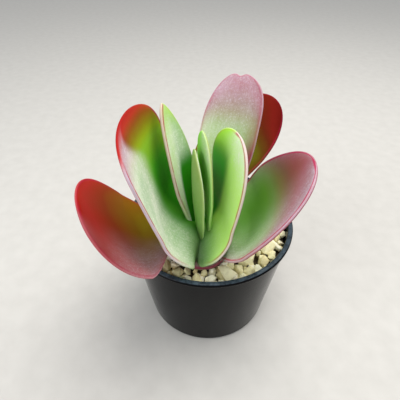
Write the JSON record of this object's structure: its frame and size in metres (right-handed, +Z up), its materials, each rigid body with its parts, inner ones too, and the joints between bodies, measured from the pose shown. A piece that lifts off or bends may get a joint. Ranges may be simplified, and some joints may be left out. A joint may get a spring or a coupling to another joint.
{
  "type": "potted kalanchoe",
  "caption": "Live succulent with broad upright paddle leaves, green at the heart and red at the edges, in a tapered glossy black nursery pot topped with pale stone chips.",
  "frame": {"origin": "middle of the pot's flat underside, on the surface it stands on", "axes": "+Z up along the pot's axis; -Y towards the side the plant's crown is set off to, which is the front; +X to the right seen from the front"},
  "size_m": [0.1087, 0.1339, 0.1522],
  "materials": {
    "pot_plastic": "gloss",
    "potting_soil": "matte",
    "stone_chips": "matte",
    "stem_flesh": "satin",
    "leaf_young": "satin",
    "leaf_mature": "satin",
    "leaf_red": "satin"
  },
  "bodies": {
    "root": {"pot": "pot_plastic", "soil": "potting_soil", "gravel_bed": "stone_chips", "stem": "stem_flesh", "leaf_heart_front": "leaf_young", "leaf_heart_rear": "leaf_young", "leaf_inner_left": "leaf_young", "leaf_inner_right": "leaf_young", "leaf_tall_left": "leaf_mature", "leaf_tall_rear": "leaf_mature", "leaf_low_right": "leaf_mature", "leaf_low_rear": "leaf_red", "leaf_low_left": "leaf_red", "stone_chip_01": "stone_chips", "stone_chip_02": "stone_chips", "stone_chip_03": "stone_chips", "stone_chip_04": "stone_chips", "stone_chip_05": "stone_chips", "stone_chip_06": "stone_chips", "stone_chip_07": "stone_chips", "stone_chip_08": "stone_chips", "stone_chip_09": "stone_chips", "stone_chip_10": "stone_chips", "stone_chip_11": "stone_chips", "stone_chip_12": "stone_chips", "stone_chip_13": "stone_chips", "stone_chip_14": "stone_chips", "stone_chip_15": "stone_chips", "stone_chip_16": "stone_chips", "stone_chip_17": "stone_chips", "stone_chip_18": "stone_chips", "stone_chip_19": "stone_chips", "stone_chip_20": "stone_chips", "stone_chip_21": "stone_chips", "stone_chip_22": "stone_chips", "stone_chip_23": "stone_chips", "stone_chip_24": "stone_chips", "stone_chip_25": "stone_chips", "stone_chip_26": "stone_chips", "stone_chip_27": "stone_chips", "stone_chip_28": "stone_chips", "stone_chip_29": "stone_chips", "stone_chip_30": "stone_chips", "stone_chip_31": "stone_chips", "stone_chip_32": "stone_chips", "stone_chip_33": "stone_chips", "stone_chip_34": "stone_chips", "stone_chip_35": "stone_chips", "stone_chip_36": "stone_chips", "stone_chip_37": "stone_chips", "stone_chip_38": "stone_chips", "stone_chip_39": "stone_chips", "stone_chip_40": "stone_chips", "stone_chip_41": "stone_chips", "stone_chip_42": "stone_chips", "stone_chip_43": "stone_chips", "stone_chip_44": "stone_chips", "stone_chip_45": "stone_chips"}
  },
  "joints": []
}
